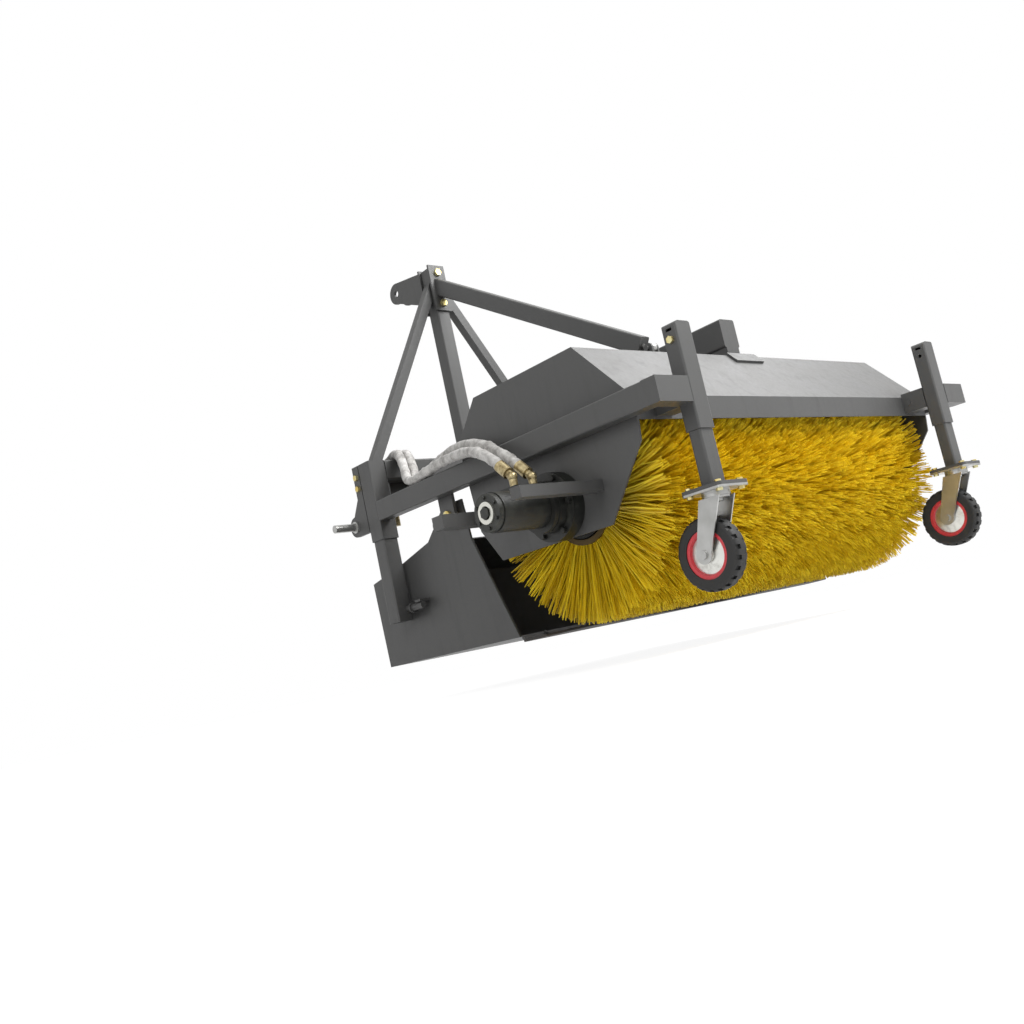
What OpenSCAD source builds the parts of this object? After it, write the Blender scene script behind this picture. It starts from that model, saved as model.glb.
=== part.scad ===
// Tractor-mounted power brush sweeper: a hydraulic brush under a steel hood,
// carried by two side rails, rear castors and an offset three-point headstock.
// X runs along the brush, +Y points to the tractor and Z is up.

/* [Frame] */
// Room between the hood's side plates and the side rails
rail_room = 3; // [2:0.5:6]
// Rear face of the frame to the rear face of the front sleeves
rail_len = 1304; // [1290:1:1320]
// Height of the side rails
rail_h = 70; // [64:1:76]
// Width of the side rails
rail_t = 50; // [44:1:52]
// Wall of every square tube
tube_wall = 4; // [3:0.5:5]

/* [Castor sleeves] */
// Distance of a castor sleeve's centre from the rail's outer face
post_inset = 167; // [155:1:175]
// Width of a castor sleeve across the machine
post_w = 66; // [62:1:72]
// Depth of a castor sleeve along the machine
post_d = 50; // [46:1:54]
// Height of a castor sleeve above the rail top
post_up = 155; // [145:1:170]
// Depth of a castor sleeve below the rail top
post_down = 142; // [130:1:155]

/* [Castors] */
// Height of the tyres above the lowest bristle tips
wheel_lift = 18; // [10:1:25]
// Length of the castor leg inside its sleeve
leg_in = 244; // [200:1:246]
// Width of the leg's foot plate
plate_w = 125; // [118:1:135]
// Depth of the leg's foot plate
plate_d = 131; // [124:1:140]
// Thickness of the leg's foot plate
plate_t = 10; // [8:1:12]
// Overall height of a castor under the foot plate
castor_h = 261; // [255:1:270]
// Diameter of the castor tyre
wheel_d = 200; // [190:1:208]
// Width of the castor tyre
wheel_w = 50; // [44:1:54]
// Distance of the axle behind the swivel axis
castor_trail = 58; // [50:1:64]

/* [Brush] */
// Diameter over the bristle tips
brush_d = 710; // [690:1:716]
// Length of the bristled part at its core
brush_len = 1440; // [1410:1:1450]
// Distance of the rearmost bristle tips from the rear face of the frame
rear_room = 130; // [122:1:140]
// Depth of the brush axis below the rail top
brush_drop = 228; // [220:1:235]
// Diameter of the steel core tube
core_d = 200; // [180:1:210]
// Diameter of the brush shaft
shaft_d = 50; // [45:1:55]
// Rings of tufts in each brush section
tuft_rings = 8; // [6:1:8]
// Tufts in each ring
tufts_per_ring = 20; // [16:1:20]

/* [Hood] */
// Room between the end of the bristled core and the hood's side plate
end_room = 72; // [68:1:76]
// Room between the bristle tips and the hood's flat top
hood_room = 63; // [58:1:70]
// Thickness of the hood's folded sheet
hood_sheet = 4; // [3:0.5:6]
// Thickness of the hood's side plates
side_t = 6; // [5:0.5:8]
// Depth of the rear skirt below the rail top
skirt_drop = 77; // [71:1:90]

/* [Bin] */
// Room between the bin's side plates and their hangers
bin_room = 19; // [15:1:24]
// Thickness of the bin's side plates
bin_side_t = 8; // [6:1:10]
// Thickness of the bin's folded sheet
bin_sheet = 4; // [3:0.5:6]
// Height of the bin's floor above the lowest bristle tips
floor_room = 18; // [14:1:24]
// Thickness of the rubber flap and its clamp bar
flap_t = 8; // [6:1:10]
// Length of the flap's free part
flap_len = 112; // [90:1:116]

/* [Headstock] */
// Distance of the headstock's centre from the brush's centre
hitch_offset = 362; // [350:1:370]
// Height of the mast's top above the rail top
mast_top = 905; // [890:1:930]
// Width of the mast
mast_w = 60; // [56:1:70]
// Depth of the mast
mast_d = 55; // [50:1:60]
// Side of the slanted headstock legs
brace_t = 35; // [30:1:40]
// Distance of the left headstock foot from the rail's outer face
foot_inset = 53; // [45:1:60]
// Diameter of the top-link hole
top_hole_d = 25.6; // [25:0.1:27]
// Diameter of the lower-link pins
lower_pin_d = 28; // [25:0.5:29]

/* [Front sleeves] */
// Side of the square front sleeves and of the front beam
front_t = 70; // [66:1:76]
// Height of the front sleeves above the rail top
front_up = 145; // [140:1:155]
// Depth of the front sleeves below the rail top
front_down = 134; // [125:1:145]
// Length of the front legs below their sleeves
stand_out = 290; // [270:1:300]

/* [Motor] */
// Diameter of the motor body
motor_d = 113; // [105:1:118]
// Distance of the motor's end from the hood's side plate
motor_reach = 277; // [265:1:285]
// Diameter of the motor's bearing housing
housing_d = 200; // [190:1:206]
// Reach of the guard bars from the hood's side plate
guard_reach = 310; // [300:1:320]

/* [Hoses] */
// Diameter of a sleeved hose
hose_d = 32; // [28:1:33]

/* [Hidden] */
$fn = 48;

// Clearances and the overrun of every cut
fit = 0.05;
gap = 0.3;
slide_gap = 0.5;
over = 5;

// Brush and hood places that the frame is built around
brush_r = brush_d / 2;
brush_y = rear_room + brush_r;
brush_z = -brush_drop;
hood_in_x = brush_len / 2 + end_room;
side_x = hood_in_x + side_t;
hood_h = brush_r - brush_drop + hood_room;

// Frame places
tube_round = 6;
rail_x = side_x + rail_room + rail_t;
post_x = rail_x - post_inset;
post_out_x = post_x + post_w / 2;
front_x = rail_x - front_t / 2;
front_y = rail_len + front_t / 2;
front_face_y = rail_len + front_t;

// Castor sleeve details
post_round = 14;
post_slot_w = 8;
post_slot_len = 20;
post_slot_down = 19;
lock_bolt_d = 12;
lock_z = leg_in - post_down + lock_bolt_d / 2 + gap;
arm_bolt_d = 20;

// Castor leg and its foot plate
leg_w = post_w - 2 * tube_wall - 2 * slide_gap;
leg_d = post_d - 2 * tube_wall - 2 * slide_gap;
leg_top_z = leg_in - post_down;
leg_out = brush_drop + brush_r - wheel_lift - castor_h - plate_t - post_down;
plate_z = -post_down - leg_out;
plate_under_z = plate_z - plate_t;
plate_bolt_d = 10;
plate_bolt_inset = 16;
plate_round = 10;
leg_y = post_d / 2;

// Castor places
swivel_t = 6;
race_d = 76;
race_h = 14;
race_z = plate_under_z - swivel_t - race_h;
crown_t = 6;
kingpin_d = 16;
kingpin_head_h = 6;
axle_d = 16;
axle_head_d = 24;
axle_head_h = 6;
wheel_y = leg_y + castor_trail;
wheel_z = plate_under_z - castor_h + wheel_d / 2;
cheek_t = 4;
cheek_gap = 6;
cheek_x = wheel_w / 2 + cheek_gap;
cheek_foot_r = 25;
cheek_top_half = 34;
rim_d = 132;
rim_ring_d = 106;
hub_d = 44;
hub_half = wheel_w / 2 + cheek_gap / 2;
rim_wall = 5;
rim_lip = 3;
tread_lugs = 22;
tread_depth = 6;
tread_slot_share = 0.42;
tread_side_share = 0.36;
tyre_round = 14;

// Brush sections
backing_t = 20;
tuft_tip = 13;
tuft_flare = 56;
section_gap = 1;
section_len = (brush_len - 2 * section_gap) / 3;
core_end_t = 12;
core_over = 4;

// Hood outline below and above the rail
ridge_back = 178;
ridge_y = brush_y - ridge_back;
top_reach = 270;
top_front_y = brush_y + top_reach;
nose_reach = 387;
nose_y = brush_y + nose_reach;
nose_fall = 122;
nose_z = hood_h - nose_fall;
skirt_y = rear_room;
eave_z = -10;
side_rear_z = -83;
side_knee_in = 6;
side_knee_y = skirt_y + side_knee_in;
side_knee_z = -133;
side_low_back = 184;
side_low_rear_y = brush_y - side_low_back;
side_low_reach = 291;
side_low_front_y = brush_y + side_low_reach;
side_low_drop = 98;
side_low_z = brush_z - side_low_drop;
side_front_reach = 364;
side_front_y = brush_y + side_front_reach;
side_front_rise = 9;
side_front_z = brush_z + side_front_rise;
shaft_hole_d = 130;

// Top beam on the hood
top_beam_w = 80;
top_beam_h = 98;
top_beam_in = 20;
top_beam_y = ridge_y + top_beam_in;
top_beam_len = 420;
saddle_w = 150;
saddle_t = 8;
saddle_fold = 46;
riser_w = 66;
riser_h = 30;
beam_round = 8;

// Bin outline, seen from the side
hanger_t = 12;
hanger_x = rail_x - rail_t;
bin_side_x = hanger_x - hanger_t - bin_room;
bin_in_x = bin_side_x - bin_side_t;
bin_w = 2 * bin_side_x;
bin_drop = brush_drop + brush_r - floor_room;
bin_lip = 35;
bin_rear_y = brush_y + brush_r - bin_lip;
bin_len = 719;
bin_front_y = bin_rear_y + bin_len;
bin_front_lean = 9;
bin_front_top_y = bin_front_y + bin_front_lean;
bin_front_h = 304;
bin_front_top_z = bin_front_h - bin_drop;
bin_mid_reach = 539;
bin_mid_y = bin_rear_y + bin_mid_reach;
bin_mid_h = 338;
bin_mid_z = bin_mid_h - bin_drop;
bin_shoulder_reach = 361;
bin_shoulder_y = bin_rear_y + bin_shoulder_reach;
bin_shoulder_h = 380;
bin_shoulder_z = bin_shoulder_h - bin_drop;
bin_neck_reach = 135;
bin_neck_y = bin_rear_y + bin_neck_reach;
bin_neck_h = 345;
bin_neck_z = bin_neck_h - bin_drop;
bin_pivot_reach = 52;
bin_pivot_y = bin_neck_y + bin_pivot_reach;
bin_pivot_drop = 63;
bin_pivot_z = -rail_h - bin_pivot_drop;
bin_ear_ahead = 56;
bin_ear_front_y = bin_pivot_y + bin_ear_ahead;
bin_ear_behind = 42;
bin_ear_rear_y = bin_pivot_y - bin_ear_behind;
bin_ear_rise = 45;
bin_ear_z = bin_pivot_z + bin_ear_rise;
bin_ear_r = 46;
pivot_d = 20;
pivot_head_d = 34;
pivot_head_h = 8;
hanger_half = 36;
hanger_top = 8;
stop_tab_t = 8;
stop_tab_len = 30;
flap_tilt = 42;
flap_rest = 0;
strip_len = 18;
strip_bolt_d = 13;
strip_bolt_h = 6;
strip_bolt_count = 8;
strip_z = bin_sheet - bin_drop;
strip_y = bin_rear_y;
flap_y = strip_y - (strip_len + flap_t / 2 + gap) * cos(flap_tilt) + flap_t / 2 * sin(flap_tilt);
flap_z = strip_z - (strip_len + flap_t / 2 + gap) * sin(flap_tilt) - flap_t / 2 * cos(flap_tilt);

// Front legs
stand_w = front_t - 2 * tube_wall - 2 * slide_gap;
stand_in = 200;
stand_low = -front_down - stand_out;
peg_d = 24;
peg_len = 92;
peg_up = 39;
peg_collar_d = 36;
peg_collar_t = 8;
peg_collar_in = 34;
peg_z = stand_low + peg_up;
peg_x = front_x - stand_w / 4;
peg_end_y = front_y - stand_w / 2 - peg_len;
cap_t = 5;

// Headstock places
hitch_x = -hitch_offset;
foot_half = rail_x - foot_inset - hitch_offset;
clamp_w = 76;
clamp_t = 8;
clamp_up = 8;
clamp_down = 176;
clamp_bolt_d = 16;
clamp_bolt_high = 22;
clamp_bolt_low = 146;
mast_rear_y = front_y - mast_d / 2;
mast_front_y = front_y + mast_d / 2;
brace_drop = 90;
brace_top_z = mast_top - brace_drop;
lug_t = 10;
lug_gap = 44;
lug_r = 42;
lug_reach = 170.5;
lug_y = mast_front_y + lug_reach;
lug_drop = 15;
lug_z = mast_top - lug_drop;
lug_root_h = 130;
tie_w = 40;
tie_h = 60;
tie_front_drop = 77;
tie_front_z = mast_top - tie_front_drop;
tie_rear_back = 82;
tie_rear_y = brush_y - tie_rear_back;
tie_rear_up = 56;
tie_rear_z = hood_h + tie_rear_up;
tie_slope = atan2(tie_front_z - tie_rear_z, mast_rear_y - tie_rear_y);
tie_run = (mast_rear_y - clamp_t - tie_rear_y) / cos(tie_slope);
eye_r = 17;
eye_t = 16;
eye_pin_d = 14;
eye_rod_d = 16;
eye_reach = 34;
eye_y = tie_rear_y - eye_reach * cos(tie_slope);
eye_z = tie_rear_z - eye_reach * sin(tie_slope);
anchor_ear_t = 8;
anchor_base_t = 6;
anchor_base_half = 36;

// Lower-link plates and pins
link_t = 12;
link_reach = 76;
link_y = front_face_y + link_reach;
link_z = -60;
link_r = 36;
link_strip = 36;
link_waist_z = 30;
link_bolt_d = 12;
link_bolt_high = 40;
link_bolt_low = 80;
link_pin_reach = 84;
link_collar_t = 6;
link_head_d = 42;
link_head_h = 8;

// Motor and bearings
housing_step = 44;
housing_len = 72;
housing_neck_d = 150;
flange_d = 146;
flange_t = 16;
cap_len = 18;
cap_d = 106;
ring_d = 62;
ring_in_d = 38;
ring_h = 5;
motor_hex_d = 20;
cap_bolts = 6;
cap_bolt_d = 11;
cap_bolt_h = 5;
cap_bolt_share = 0.8;
flange_bolt_d = 18;
flange_bolt_h = 11;
port_block_w = 96;
port_block_d = 68;
port_block_h = 66;
port_x = side_x + housing_len + flange_t + port_block_w / 2;
idler_len = 46;
idler_neck_d = 110;
motor_x = side_x + motor_reach;
guard_ahead = 176;
guard_front_y = brush_y + guard_ahead;
guard_behind = 164;
guard_rear_y = brush_y - guard_behind;
guard_rise = 16;
guard_z = brush_z + guard_rise;
guard_front_d = 48;
guard_front_h = 40;
guard_rear_d = 40;
guard_rear_h = 32;
guard_ring_r = 15;
guard_wire = 7;
guard_ring_in = 26;

// Bolts: across-corners head, as a share of the shank
head_share = 1.8;
head_h_share = 0.65;

// Hose routes: places at the motor, measured from the brush axis at the hood's side; along the rail,
// measured from the hood's side and stretched with the rail; and over the beam, from the rail's front end
hose_sides = 10;
route_base = 65;
route_end = 141;
route_drawn = 613;
route_share = (rail_len - route_end - brush_y - route_base) / route_drawn;
function hose_route(rear, middle, front) = concat(
    [for (p = rear) [-side_x, brush_y, brush_z] + p],
    [for (p = middle) [p[0] - side_x, brush_y + route_base + p[1] * route_share, p[2]]],
    [for (p = front) [-rail_x, rail_len, front_up] + p]);
pressure_rear = [[-147, 55, 143], [-147, 80, 168]];
pressure_middle = [[-142, 60, -31], [-132, 110, -10], [-115, 165, 4], [-95, 225, 13], [-75, 290, 20],
    [-58, 355, 25], [-46, 420, 24], [-37, 485, 21], [-28, 545, 17]];
pressure_front = [[49, -141, -110], [83, -87, -53], [113, -33, 4], [131, 1, 18], [141, 36, 23],
    [149, 71, 18], [153, 103, 5], [155, 132, -18], [156, 153, -46], [156, 166, -79], [156, 169, -99],
    [156, 169, -113]];
return_rear = [[-102, 25, 133], [-102, 50, 158]];
return_middle = [[-98, 30, -36], [-90, 85, -2], [-76, 150, 25], [-57, 220, 43], [-38, 290, 52],
    [-22, 355, 53], [-10, 420, 46], [-1, 485, 33], [7, 545, 19]];
return_front = [[85, -141, -110], [120, -87, -53], [150, -33, 4], [168, 1, 18], [178, 36, 23],
    [186, 71, 18], [190, 103, 5], [192, 132, -18], [193, 153, -46], [193, 166, -79], [193, 169, -99],
    [193, 169, -113]];
route_pressure = hose_route(pressure_rear, pressure_middle, pressure_front);
route_return = hose_route(return_rear, return_middle, return_front);
ferrule_len = 62;
ferrule_d = 36;
ferrule_lean = 45;
ferrule_share = 0.7;
elbow_d = 24;
elbow_knee_d = 29;
coupler_d = 32;
coupler_len = 96;
coupler_nose_d = 27;
coupler_collar_d = 36;
coupler_collar_h = 14;
bracket_t = 6;
bracket_drop = 44;
bracket_below = 20;
bracket_margin = 34;

// Whole-part reach, which sets the origin at the middle of the base
reach_left = side_x + max(guard_reach, motor_reach + 2 * ring_h);
reach_rear = plate_d / 2 - leg_y;
reach_front = lug_y + lug_r;
flap_low = flap_z - flap_len * sin(flap_rest) - flap_t / 2 * cos(flap_rest);
base_z = min(flap_low, brush_z - brush_r);
origin_at = [(rail_x - reach_left) / 2, (reach_front - reach_rear) / 2, base_z];

// Helpers
function unit(v) = v / norm(v);
function left_of(a, b) = let (d = unit(b - a)) [-d[1], d[0]];
function turn(p, i) =
    let (n = len(p) - 1)
    let (before = left_of(p[max(i - 1, 0)], p[max(i, 1)]))
    let (after = left_of(p[min(i, n - 1)], p[min(i + 1, n)]))
    (before + after) / (1 + before * after);
function sheet_outline(p, t) = concat(p, [for (i = [len(p) - 1:-1:0]) p[i] + t * turn(p, i)]);

module placed() { translate(-origin_at) children(); }
module across(x0, x1) { translate([x0, 0, 0]) rotate([90, 0, 90]) linear_extrude(x1 - x0) children(); }
module along_x(d, x0, x1) { translate([x0, 0, 0]) rotate([0, 90, 0]) cylinder(d = d, h = x1 - x0); }
module along_y(d, y0, y1) { translate([0, y0, 0]) rotate([-90, 0, 0]) cylinder(d = d, h = y1 - y0); }
module box(low, high) { translate(low) cube(high - low); }
module both() { children(); mirror([1, 0, 0]) children(); }
module right_side(right) { mirror([right ? 0 : 1, 0, 0]) children(); }

// A square tube: its rounded outline, its section, and an upright length open at both ends
module tube_outline(w, h) {
    for (x = [-1, 1]) for (y = [-1, 1])
        translate([x * (w / 2 - tube_round), y * (h / 2 - tube_round)]) circle(r = tube_round);
    square([w, h - 2 * tube_round], center = true);
    square([w - 2 * tube_round, h], center = true);
}
module tube_section(w, h) {
    difference() {
        tube_outline(w, h);
        square([w - 2 * tube_wall, h - 2 * tube_wall], center = true);
    }
}
module upright_tube(w, d, z0, z1) { translate([0, 0, z0]) linear_extrude(z1 - z0) tube_section(w, d); }
module upright_cap(w, d, z) { translate([0, 0, z]) linear_extrude(cap_t) tube_outline(w, d); }

// A hexagon head or nut, along each axis
module hex(d, h) { cylinder(d = d * head_share, h = h, $fn = 6); }
module hex_x(d, x0, h) { translate([x0, 0, 0]) rotate([0, 90, 0]) hex(d, h); }
module hex_y(d, y0, h) { translate([0, y0, 0]) rotate([-90, 0, 0]) hex(d, h); }
module hex_z(d, z0, h) { translate([0, 0, z0]) hex(d, h); }

// Side rails
module rail() {
    translate([rail_x - rail_t / 2, post_d, -rail_h / 2]) rotate([-90, 0, 0])
        linear_extrude(rail_len - post_d) tube_section(rail_t, rail_h);
}
module rail_left() { color("#505254") right_side(false) rail(); }
module rail_right() { color("#505254") right_side(true) rail(); }

// Stubs that join each rail to its castor sleeve, and arms from the sleeves to the skirt
module rear_brackets() {
    color("#505254") both() {
        difference() {
            box([post_out_x, 0, -rail_h], [rail_x, post_d, 0]);
            box([post_out_x - over, tube_wall, tube_wall - rail_h],
                [rail_x - tube_wall, post_d - tube_wall, -tube_wall]);
        }
        difference() {
            box([post_x - post_w / 2, post_d, -rail_h], [post_out_x, skirt_y, 0]);
            box([post_x - post_w / 2 + tube_wall, post_d - over, tube_wall - rail_h],
                [post_out_x - tube_wall, skirt_y - tube_wall, -tube_wall]);
        }
        translate([post_x - post_w / 2, skirt_y - arm_bolt_d, -rail_h / 2])
            along_x(arm_bolt_d, -arm_bolt_d / 4, 0);
    }
}

// Castor sleeves, with a rounded top, a hand slot and a cross hole
module sleeve_shape() {
    rotate([90, 0, 0]) mirror([0, 0, 1]) linear_extrude(post_d) union() {
        translate([-post_w / 2, -post_down]) square([post_w, post_up + post_down - post_round]);
        for (x = [post_round - post_w / 2, post_w / 2 - post_round])
            translate([x, post_up - post_round]) circle(r = post_round);
        translate([post_round - post_w / 2, post_up - 2 * post_round])
            square([post_w - 2 * post_round, 2 * post_round]);
    }
}
module castor_sleeve() {
    translate([post_x, 0, 0]) difference() {
        intersection() {
            sleeve_shape();
            translate([0, leg_y, -post_down - over])
                linear_extrude(post_up + post_down + 2 * over) tube_outline(post_w, post_d);
        }
        box([tube_wall - post_w / 2, tube_wall, -post_down - over],
            [post_w / 2 - tube_wall, post_d - tube_wall, post_up - post_round]);
        translate([0, leg_y, lock_z]) along_x(lock_bolt_d + gap, -post_w, post_w);
        translate([0, leg_y, post_up - post_slot_down])
            box([-post_w, -post_slot_len / 2, -post_slot_w / 2],
                [post_w, post_slot_len / 2, post_slot_w / 2]);
    }
}
module castor_sleeve_left() { color("#55575a") right_side(false) castor_sleeve(); }
module castor_sleeve_right() { color("#55575a") right_side(true) castor_sleeve(); }

// Front sleeves, closed by a cap
module front_sleeve() {
    translate([front_x, front_y, 0]) {
        upright_tube(front_t, front_t, -front_down, front_up - cap_t);
        upright_cap(front_t, front_t, front_up - cap_t);
    }
}
module front_sleeve_left() { color("#505254") right_side(false) front_sleeve(); }
module front_sleeve_right() { color("#505254") right_side(true) front_sleeve(); }

// Cross beam between the front sleeves
module front_beam() {
    color("#505254") translate([0, front_y, front_up - front_t / 2])
        across(front_t / 2 - front_x, front_x - front_t / 2) tube_section(front_t, front_t);
}

// Mast of the offset headstock, with its two clamp bolts' holes
module clamp_holes() {
    for (drop = [clamp_bolt_high, clamp_bolt_low])
        translate([hitch_x, 0, mast_top - drop])
            along_y(clamp_bolt_d + gap, mast_rear_y - 2 * clamp_t, mast_front_y + 2 * clamp_t);
}
module mast() {
    color("#505254") difference() {
        translate([hitch_x, front_y, 0]) upright_tube(mast_w, mast_d, front_up, mast_top - cap_t);
        clamp_holes();
    }
    color("#505254") translate([hitch_x, front_y, 0]) upright_cap(mast_w, mast_d, mast_top - cap_t);
}

// Slanted leg from the mast to the front beam
module brace() {
    rise = brace_top_z - front_up;
    run = foot_half - mast_w / 2;
    wide = brace_t * norm([rise, run]) / rise;
    tall = wide * rise / run;
    translate([hitch_x, front_y - brace_t / 2, 0]) rotate([90, 0, 0]) mirror([0, 0, 1])
        linear_extrude(brace_t) polygon([[foot_half + wide / 2, front_up], [foot_half - wide / 2, front_up],
            [mast_w / 2, brace_top_z - tall / 2], [mast_w / 2, brace_top_z + tall / 2]]);
}
module headstock_leg_right() { color("#505254") brace(); }
module headstock_leg_left() { color("#505254") translate([2 * hitch_x, 0, 0]) mirror([1, 0, 0]) brace(); }

// Clamp plates behind and in front of the mast's top
module apex_clamp() {
    color("#4a4c4f") difference() {
        for (y = [mast_rear_y - clamp_t, mast_front_y])
            box([hitch_x - clamp_w / 2, y, mast_top - clamp_down],
                [hitch_x + clamp_w / 2, y + clamp_t, mast_top + clamp_up]);
        clamp_holes();
    }
}

// Pair of top-link lugs on the front clamp plate
module lug_outline() {
    root_y = mast_front_y + clamp_t;
    difference() {
        union() {
            polygon([[root_y, mast_top - lug_root_h], [root_y, mast_top], [lug_y, lug_z + lug_r],
                [lug_y, lug_z - lug_r]]);
            translate([lug_y, lug_z]) circle(r = lug_r);
        }
        translate([lug_y, lug_z]) circle(d = top_hole_d);
    }
}
module top_link_lugs() {
    color("#4a4c4f") for (x = [-lug_gap / 2 - lug_t, lug_gap / 2])
        across(hitch_x + x, hitch_x + x + lug_t) lug_outline();
}

// Tie bar from the mast down to the hood's ridge
module tie_bar() {
    color("#505254") difference() {
        translate([hitch_x, tie_rear_y, tie_rear_z]) rotate([tie_slope - 90, 0, 0]) {
            linear_extrude(tube_wall) tube_outline(tie_w, tie_h);
            translate([0, 0, tube_wall]) linear_extrude(tie_run + tie_h) tube_section(tie_w, tie_h);
        }
        box([hitch_x - tie_w, mast_rear_y - clamp_t, 0],
            [hitch_x + tie_w, mast_rear_y + 2 * tie_h, 2 * mast_top]);
    }
}

// Zinc eye on the tie bar's lower end
module tie_eye() {
    color("#c9c9c2") difference() {
        union() {
            translate([hitch_x, tie_rear_y, tie_rear_z]) rotate([tie_slope, 0, 0])
                along_y(eye_rod_d, -eye_reach, 0);
            translate([hitch_x, eye_y, eye_z]) along_x(2 * eye_r, -eye_t / 2, eye_t / 2);
        }
        translate([hitch_x, eye_y, eye_z]) along_x(eye_pin_d + 2 * fit, -eye_t, eye_t);
    }
}

// Anchor ears on the hood that hold the eye's pin
module tie_anchor() {
    half = eye_t / 2 + gap;
    color("#505254") {
        box([hitch_x - anchor_base_half, eye_y - anchor_base_half, hood_h],
            [hitch_x + anchor_base_half, eye_y + anchor_base_half, hood_h + anchor_base_t]);
        for (x = [-half - anchor_ear_t, half]) across(hitch_x + x, hitch_x + x + anchor_ear_t) union() {
            translate([eye_y, eye_z]) circle(r = eye_r);
            translate([eye_y - eye_r, hood_h + anchor_base_t])
                square([2 * eye_r, eye_z - hood_h - anchor_base_t]);
        }
        translate([hitch_x, eye_y, eye_z])
            along_x(eye_pin_d, -half - 2 * anchor_ear_t, half + 2 * anchor_ear_t);
    }
}

// Box beam on the hood's top, on a saddle folded over the ridge
module top_beam() {
    slope = unit([skirt_y - ridge_y, eave_z - hood_h]);
    ridge = [ridge_y, hood_h];
    saddle = [ridge + saddle_fold * slope, ridge, [top_beam_y + top_beam_len, hood_h]];
    riser_z = hood_h + saddle_t;
    color("#505254") {
        across(-saddle_w / 2, saddle_w / 2) polygon(sheet_outline(saddle, saddle_t));
        box([-riser_w / 2, top_beam_y, riser_z],
            [riser_w / 2, top_beam_y + top_beam_len, riser_z + riser_h]);
        translate([0, top_beam_y, riser_z + riser_h]) difference() {
            rotate([-90, 0, 0]) mirror([0, 1, 0]) linear_extrude(top_beam_len)
                for (x = [beam_round - top_beam_w / 2, top_beam_w / 2 - beam_round]) {
                    translate([x, beam_round]) circle(r = beam_round);
                    translate([x, top_beam_h - beam_round]) circle(r = beam_round);
                    translate([-top_beam_w / 2, beam_round])
                        square([top_beam_w, top_beam_h - 2 * beam_round]);
                    translate([beam_round - top_beam_w / 2, 0])
                        square([top_beam_w - 2 * beam_round, top_beam_h]);
                }
            box([tube_wall - top_beam_w / 2, tube_wall, tube_wall],
                [top_beam_w / 2 - tube_wall, top_beam_len + over, top_beam_h - tube_wall]);
        }
    }
}

// Folded hood over the brush
hood_line = [[skirt_y, -skirt_drop], [skirt_y, eave_z], [ridge_y, hood_h], [top_front_y, hood_h],
    [nose_y, nose_z]];
module hood() {
    color("#6a6c6f") across(-hood_in_x, hood_in_x) polygon(sheet_outline(hood_line, -hood_sheet));
}

// Flat side plates that close the hood's ends and carry the brush bearings
module hood_side() {
    color("#4c4e50") across(hood_in_x, side_x) difference() {
        polygon(concat(hood_line, [[side_front_y, side_front_z], [side_low_front_y, side_low_z],
            [side_low_rear_y, side_low_z], [side_knee_y, side_knee_z], [skirt_y, side_rear_z]]));
        translate([brush_y, brush_z]) circle(d = shaft_hole_d);
    }
}
module hood_side_left() { right_side(false) hood_side(); }
module hood_side_right() { right_side(true) hood_side(); }

// Hangers under the rails for the bin's pivots
module bin_hangers() {
    color("#4a4c4f") both() across(hanger_x - hanger_t, hanger_x) difference() {
        union() {
            translate([bin_pivot_y - hanger_half, bin_pivot_z])
                square([2 * hanger_half, -bin_pivot_z - hanger_top]);
            translate([bin_pivot_y, bin_pivot_z]) circle(r = hanger_half);
        }
        translate([bin_pivot_y, bin_pivot_z]) circle(d = pivot_d + 2 * fit);
    }
}
module bin_pivot_pins() {
    color("#b9a35a") both() translate([0, bin_pivot_y, bin_pivot_z]) {
        along_x(pivot_d, bin_in_x - pivot_head_h - gap, hanger_x + pivot_head_h);
        along_x(pivot_head_d, hanger_x, hanger_x + pivot_head_h);
        along_x(pivot_head_d, bin_side_x + gap, hanger_x - hanger_t);
        along_x(pivot_head_d, bin_in_x - pivot_head_h - gap, bin_in_x - gap);
    }
}

// Bearing housings on the hood's side plates
module motor_bearing() {
    color("#22231f") translate([0, brush_y, brush_z]) difference() {
        union() {
            along_x(housing_d, -side_x - housing_step, -side_x);
            along_x(housing_neck_d, -side_x - housing_len, -side_x);
        }
        along_x(shaft_d + 2 * fit, -side_x - housing_len + flange_t, -hood_in_x);
    }
}
module idler_bearing() {
    color("#22231f") translate([0, brush_y, brush_z]) difference() {
        union() {
            along_x(housing_d, side_x, side_x + flange_t);
            along_x(idler_neck_d, side_x, side_x + idler_len);
        }
        along_x(shaft_d + 2 * fit, hood_in_x, side_x + idler_len - flange_t);
    }
}

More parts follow.
